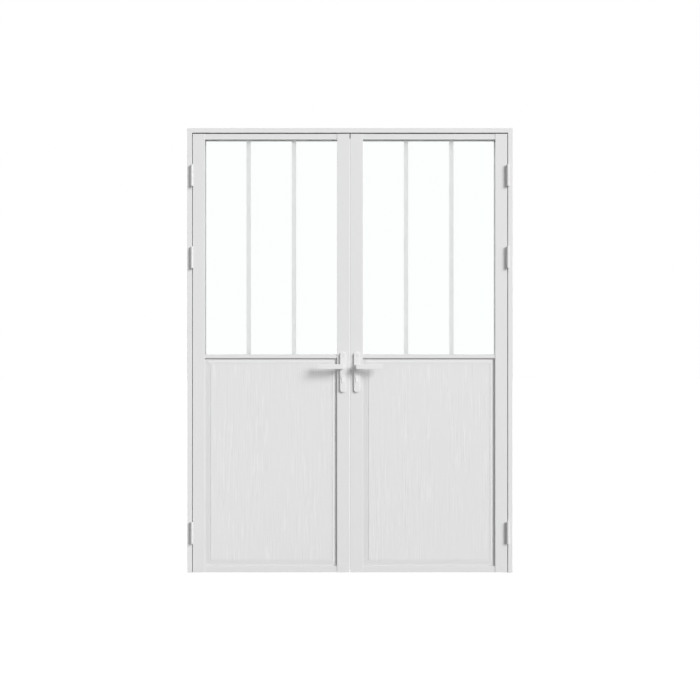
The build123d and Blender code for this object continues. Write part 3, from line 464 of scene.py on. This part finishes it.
panel_skin, tree, shader = new_material("panel_powder_coat", powder, (0.795, 0.795, 0.797),
                                        Roughness=0.48)
pores = add_node(tree, "ShaderNodeTexNoise", Scale=1.0, Detail=3.0)
place = add_node(tree, "ShaderNodeTexCoord").outputs["Object"]
along = add_node(tree, "ShaderNodeMapping", {"Vector": place}, Scale=pore_stretch)
tree.links.new(along.outputs["Vector"], pores.inputs["Vector"])
peel = shader.inputs["Normal"].links[0].from_socket
pore_bump = add_node(tree, "ShaderNodeBump", {"Height": pores.outputs["Fac"], "Normal": peel},
                     Distance=pore_depth)
tree.links.new(pore_bump.outputs["Normal"], shader.inputs["Normal"])


def noise_between(tree, place, stretch, low, high, most):
    """A stretched noise that rises from 0 at low to most at high."""
    stretched = add_node(tree, "ShaderNodeMapping", {"Vector": place}, Scale=stretch)
    made = add_node(tree, "ShaderNodeTexNoise", {"Vector": stretched.outputs["Vector"]},
                    Scale=1.0, Detail=2.0)
    ranged = add_node(tree, "ShaderNodeMapRange", {"Value": made.outputs["Fac"]})
    for label, value in (("From Min", low), ("From Max", high), ("To Max", most)):
        ranged.inputs[label].default_value = value
    return ranged.outputs["Result"]


axes = add_node(tree, "ShaderNodeSeparateXYZ", {"Vector": place})
proud = add_node(tree, "ShaderNodeMath", {0: axes.outputs["Y"]}, operation="ABSOLUTE")
on_field = add_node(tree, "ShaderNodeMath", {0: proud.outputs[0]}, operation="GREATER_THAN")
on_field.inputs[1].default_value = field_y - 2 * grain_depth
filled = noise_between(tree, place, streak_stretch, low=0.57, high=0.61, most=0.055)
starved = noise_between(tree, place, streak_stretch, low=0.38, high=0.34, most=0.050)
patches = noise_between(tree, place, cloud_stretch, low=0.40, high=0.56, most=1.0)
change = add_node(tree, "ShaderNodeMath", {0: filled, 1: starved}, operation="SUBTRACT")
change = add_node(tree, "ShaderNodeMath", {0: change.outputs[0], 1: patches}, operation="MULTIPLY")
tone = add_node(tree, "ShaderNodeMath", {0: change.outputs[0], 1: on_field.outputs[0]},
                operation="MULTIPLY_ADD")
tone.inputs[2].default_value = 1.0
coat = shader.inputs["Base Color"].links[0].from_socket
toned = add_node(tree, "ShaderNodeVectorMath", {0: coat, 1: tone.outputs[0]}, operation="MULTIPLY")
tree.links.new(toned.outputs[0], shader.inputs["Base Color"])

for side, seed in zip(sides, grain_seeds):
    panel = blank.copy()
    panel.data = blank.data.copy()
    panel.name = panel.data.name = f"{side}_grained_panel"
    scene.collection.objects.link(panel)
    if side == "left":
        panel.data.transform(Matrix.Translation((-2 * field_middle.x, 0, 0)))
    press_grain(panel, seed)
    panel.data.materials.append(panel_skin)
    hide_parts(f"{side}_panel")
    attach(panel, f"{side}_leaf")
bpy.data.objects.remove(blank)

# ---------------------------------------------------------------- glass unit
# Two panes of clear float glass with a coated spacer round their edge and flat coated bars
# between them. The panes' edges are ground, and a film of air is left under every gasket.
glass_relief = 0.00006
glass_arris = 0.0005
glass_tint = (0.985, 1.0, 0.992, 1)
shade_tint = (0.965, 0.972, 0.967, 1)

glass = bpy.data.materials.new("clear_glass")
glass.use_nodes = True
tree = glass.node_tree
shader = tree.nodes["Principled BSDF"]
shader.inputs["Base Color"].default_value = glass_tint
shader.inputs["Roughness"].default_value = 0.0
shader.inputs["Transmission Weight"].default_value = 1.0
shader.inputs["IOR"].default_value = 1.5
place = add_node(tree, "ShaderNodeTexCoord").outputs["Object"]
wave = add_node(tree, "ShaderNodeTexNoise", {"Vector": place}, Scale=4.0, Detail=1.0)
float_wave = add_node(tree, "ShaderNodeBump", {"Height": wave.outputs["Fac"]}, Distance=0.0002)
tree.links.new(float_wave.outputs["Normal"], shader.inputs["Normal"])
clear_shade = add_node(tree, "ShaderNodeBsdfTransparent", Color=shade_tint)
lets_light = add_node(tree, "ShaderNodeMixShader")
tree.links.new(add_node(tree, "ShaderNodeLightPath").outputs["Is Shadow Ray"], lets_light.inputs[0])
tree.links.new(shader.outputs[0], lets_light.inputs[1])
tree.links.new(clear_shade.outputs[0], lets_light.inputs[2])
tree.links.new(lets_light.outputs[0], tree.nodes["Material Output"].inputs["Surface"])
bar_coat = coated("bar_powder_coat", grey=0.84)
for side in sides:
    for place in ("outer", "inner"):
        low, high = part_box(f"{side}_{place}_pane")
        size, middle = high - low, (low + high) / 2
        bpy.ops.mesh.primitive_cube_add(size=1, location=middle)
        pane = new_piece(f"{side}_{place}_glass")
        edit(pane)
        bpy.ops.mesh.select_all(action="SELECT")
        bpy.ops.transform.resize(value=(size.x, size.y - 2 * glass_relief, size.z),
                                 center_override=middle)
        bpy.ops.mesh.select_mode(type="EDGE")
        bpy.ops.mesh.bevel(offset=glass_arris, segments=1)
        close_up(pane, angle=20)
        pane.data.materials.append(glass)
        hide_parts(f"{side}_{place}_pane")
        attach(pane, f"{side}_leaf")
    paint(bar_coat, f"{side}_spacer_and_bars")

# ---------------------------------------------------------------- gaskets and seals
# Pale rubber strips hold the glass and the panels, and a strip of the same rubber closes the
# gap between the leaves. The stop's bulb gasket is dark rubber in a slot of the frame.
# Partly painted light: pale rubber, with its grey raised so that the gasket faces that lie in shade
# behind the glass read bright.
pale_rubber = new_material("pale_rubber", moulded, (0.84, 0.84, 0.84), Size=1400.0, Roughness=0.62,
                           Depth=0.00008, Tone=0.03)[0]
strip_rubber = new_material("strip_rubber", moulded, (0.84, 0.84, 0.84), Size=1400.0,
                            Roughness=0.55, Depth=0.00006, Tone=0.03)[0]
grey_rubber = new_material("grey_rubber", moulded, (0.10, 0.10, 0.10), Size=1400.0, Roughness=0.66,
                           Depth=0.0001, Tone=0.15)[0]
paint(pale_rubber, *(f"{side}_glazing_gaskets" for side in sides))
paint(strip_rubber, "meeting_seal")
paint(grey_rubber, "frame_gasket")

# ---------------------------------------------------------------- bottom brushes
# A row of polypropylene pile closes the gap to the floor under each leaf. The bristles come
# out of a groove in the bottom rail in four rows and lean a little every way.
bristle_pitch = 0.0011
bristle_rows = 4
row_pitch = 0.0021
bristle_sides = 5
bristle_width = 0.00030
bristle_taper = 0.6
bristle_lean = 0.0005
lean_seed = 7

low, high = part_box("right_bottom_brush")
bristle_count = int((high.x - low.x) / bristle_pitch) - 1
start = Vector((low.x + bristle_pitch, -(bristle_rows - 1) * row_pitch / 2, (low.z + high.z) / 2))
bpy.ops.mesh.primitive_cone_add(vertices=bristle_sides, radius1=bristle_taper * bristle_width,
                                radius2=bristle_width, depth=high.z - low.z, location=start)
bristles = new_piece("bristle_model")
for name, count, step in (("along", bristle_count, (bristle_pitch, 0, 0)),
                          ("rows", bristle_rows, (0, row_pitch, 0))):
    array = bristles.modifiers.new(name, "ARRAY")
    array.count = count
    array.use_relative_offset = False
    array.use_constant_offset = True
    array.constant_offset_displace = step
    bpy.ops.object.modifier_apply(modifier=array.name)

pile_material = new_material("brush_pile", moulded, (0.22, 0.22, 0.22), Size=2500.0,
                             Along=(1.0, 1.0, 0.1), Tone=0.4, Roughness=0.6, Depth=0.00005)[0]
lean = random.Random(lean_seed)
points = np.empty(len(bristles.data.vertices) * 3, np.float32)
bristles.data.vertices.foreach_get("co", points)
points = points.reshape(-1, 2 * bristle_sides, 3)
for bristle in points:
    tips = bristle[:, 2] < start.z
    bristle[tips, 0] += lean.uniform(-bristle_lean, bristle_lean)
    bristle[tips, 1] += lean.uniform(-bristle_lean, bristle_lean)
bristles.data.vertices.foreach_set("co", points.ravel())
bristles.data.update()
for side in sides:
    brush = bristles.copy()
    brush.data = bristles.data.copy()
    brush.name = brush.data.name = f"{side}_brush_bristles"
    scene.collection.objects.link(brush)
    if side == "left":
        brush.data.transform(Matrix.Translation((-(low.x + high.x), 0, 0)))
    brush.data.materials.append(pile_material)
    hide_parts(f"{side}_bottom_brush")
    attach(brush, f"{side}_leaf")
bpy.data.objects.remove(bristles)

# ---------------------------------------------------------------- hinges
# Three white steel butt hinges a leaf, with the plates let into the gap and a capped pin. The
# plates are held by countersunk zinc screws with a cross recess.
hinge_axis_x = 0.7265
hinge_heights = (0.186, 1.453, 1.830)
plate_gap = 0.0003
plate_middle_y = -0.0115
hinge_screw_step = 0.032
screw_segments = 24
cross_width, cross_reach, cross_flare = 0.26, 0.34, 1.15
flat_share, edge_drop = 0.9, 0.05

# Painted shade: the hinges get a darker grey of the same white coat than the other parts, so the
# sides of the barrels that face the lamp are not too bright.
shaded_hinge_coat = coated("hinge_powder_coat_painted_shade", grey=0.75, Roughness=0.45, Size=1300.0)
paint(shaded_hinge_coat, "frame_hinge_leaves", "hinge_pins", *(f"{side}_hinge_leaves" for side in sides))


def cross_screw(name, head, cone, shank, length, recess):
    """A countersunk screw, its head flush at z 0: a cross recess, a rim, a cone and a shank."""
    width, reach = cross_width * head, cross_reach * head
    bpy.ops.mesh.primitive_plane_add(size=width, location=(0, 0, -recess))
    piece = new_piece(name)
    edit(piece)
    for x, y in ((1, 0), (-1, 0), (0, 1), (0, -1)):
        side_middle = Vector((x, y, 0)) * width / 2
        choose(piece, "edges", lambda middle, edge: (middle.xy - side_middle.xy).length < 1e-6)
        draw_on((x * reach, y * reach, 0))
    choose(piece, "edges", lambda middle, edge: edge.is_boundary)
    draw_on((0, 0, recess), cross_flare)
    bpy.ops.mesh.select_all(action="DESELECT")
    bpy.ops.mesh.primitive_circle_add(vertices=screw_segments, radius=flat_share * head,
                                      location=(0, 0, 0))
    choose(piece, "edges", lambda middle, edge: len(edge.link_faces) < 2 and abs(middle.z) < 1e-6)
    bpy.ops.mesh.fill()
    choose(piece, "edges", lambda middle, edge: edge.is_boundary)
    draw_on((0, 0, -edge_drop * head), 1 / flat_share)
    draw_on((0, 0, edge_drop * head - cone), shank / head)
    draw_on((0, 0, cone - length))
    bpy.ops.mesh.edge_face_add()
    close_up(piece)
    return piece


def plated(name, group, colour, **values):
    """A bare metal surface."""
    material, _, shader = new_material(name, group, colour, **values)
    shader.inputs["Metallic"].default_value = 1.0
    return material


zinc = plated("zinc_steel", moulded, (0.66, 0.67, 0.68), Size=260.0, Tone=0.12, Roughness=0.38,
              Gloss_Change=0.2, Depth=0.00003)
model = cross_screw("screw_model", head=0.0039, cone=0.0019, shank=0.0019, length=0.012,
                    recess=0.0014)
for body, towards in (("frame", -1), ("leaf", 1)):
    for side, turned in (("left", -1), ("right", 1)):
        face_x = turned * (hinge_axis_x - towards * plate_gap)
        places = [((face_x, plate_middle_y, height + offset * hinge_screw_step),
                   (turned * towards, 0, 0))
                  for height in hinge_heights for offset in (-1, 0, 1)]
        screws = spread(model, f"{side}_{body}_hinge_screws", places)
        screws.data.materials.append(zinc)
        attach(screws, "frame" if body == "frame" else f"{side}_leaf")
bpy.data.objects.remove(model)

# ---------------------------------------------------------------- handle sets
# Each leaf has a flat lever on a long rounded plate outside and inside, cast and coated white.
# Two coated bolts with countersunk cross heads go right through and hold both plates.
bolt_head = 0.0046

handle_coat = coated("handle_powder_coat", grey=0.83, Roughness=0.4, Size=1500.0, Depth=0.00005)
for side in sides:
    for name in ("handle_plates", "outer_lever", "inner_lever"):
        paint(handle_coat, f"{side}_{name}")

bolt = cross_screw("bolt_model", head=bolt_head, cone=0.0030, shank=0.0025, length=0.0330,
                   recess=0.0016)
for side in sides:
    low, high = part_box(f"{side}_handle_screws")
    middle_x = (low.x + high.x) / 2
    places = [((middle_x, y, z), (0, y, 0))
              for y in (low.y, high.y) for z in (low.z + bolt_head, high.z - bolt_head)]
    bolts = spread(bolt, f"{side}_handle_bolts", places)
    bolts.data.materials.append(handle_coat)
    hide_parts(f"{side}_handle_screws")
    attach(bolts, f"{side}_leaf")
bpy.data.objects.remove(bolt)

# ---------------------------------------------------------------- locks
# A profile cylinder of satin nickel goes through each leaf under the levers. The lock cases,
# spindles, rods and keepers are zinc plated steel, the deadbolt is nickel, and the rods run
# in plastic guides. Two countersunk screws hold each faceplate and the deadbolt's keeper.
plate_screw_inset = 0.006
plate_screw_proud = 0.0001
bevel_drop, leaf_depth = 0.003, 0.048
edge_bevel = bevel_drop / leaf_depth

drawn = surface_group("drawn_metal", (1.0, 1.0, 0.02), 4.0)
nickel = plated("satin_nickel", drawn, (0.80, 0.795, 0.78), Size=900.0, Along=(0.05, 1.0, 1.0),
                Tone=0.05, Roughness=0.34, Gloss_Change=0.12, Depth=0.00002)
drawn_zinc = plated("drawn_zinc_steel", drawn, (0.64, 0.65, 0.66), Size=700.0, Tone=0.12,
                    Roughness=0.36, Gloss_Change=0.2, Depth=0.00003)
guide_plastic = new_material("grey_plastic", moulded, (0.45, 0.45, 0.45), Size=1200.0,
                             Roughness=0.55, Depth=0.00006)[0]
for side in sides:
    paint(nickel, f"{side}_cylinder_body", f"{side}_cylinder_plug")
    paint(zinc, f"{side}_lock_case", f"{side}_spindle")
    paint(drawn_zinc, f"{side}_upper_rod", f"{side}_lower_rod")
    paint(guide_plastic, f"{side}_rod_guides")
paint(nickel, "deadbolt")
paint(zinc, "deadbolt_keeper", "head_keepers")

model = cross_screw("plate_screw_model", head=0.0034, cone=0.0017, shank=0.0016, length=0.010,
                    recess=0.0012)
for side, turned, plates in (("left", -1, ("left_lock_case", "deadbolt_keeper")),
                             ("right", 1, ("right_lock_case",))):
    places = []
    for plate in plates:
        low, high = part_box(plate)
        edge_x = min(abs(low.x), abs(high.x)) + edge_bevel * (high.y - low.y) / 2
        face = Vector((turned * (edge_x - plate_screw_proud), (low.y + high.y) / 2, 0))
        for height in (low.z + plate_screw_inset, high.z - plate_screw_inset):
            places.append(((face.x, face.y, height), (-turned, edge_bevel, 0)))
    screws = spread(model, f"{side}_lock_screws", places)
    screws.data.materials.append(zinc)
    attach(screws, f"{side}_leaf")
bpy.data.objects.remove(model)

# ---------------------------------------------------------------- corner cleats
# Extruded angles of bare aluminium join the frame's mitres from inside.
mill_aluminium = plated("mill_aluminium", drawn, (0.78, 0.78, 0.79), Size=600.0,
                        Along=(1.0, 0.02, 1.0), Tone=0.06, Roughness=0.42, Gloss_Change=0.2,
                        Depth=0.00003)
paint(mill_aluminium, "corner_cleats")
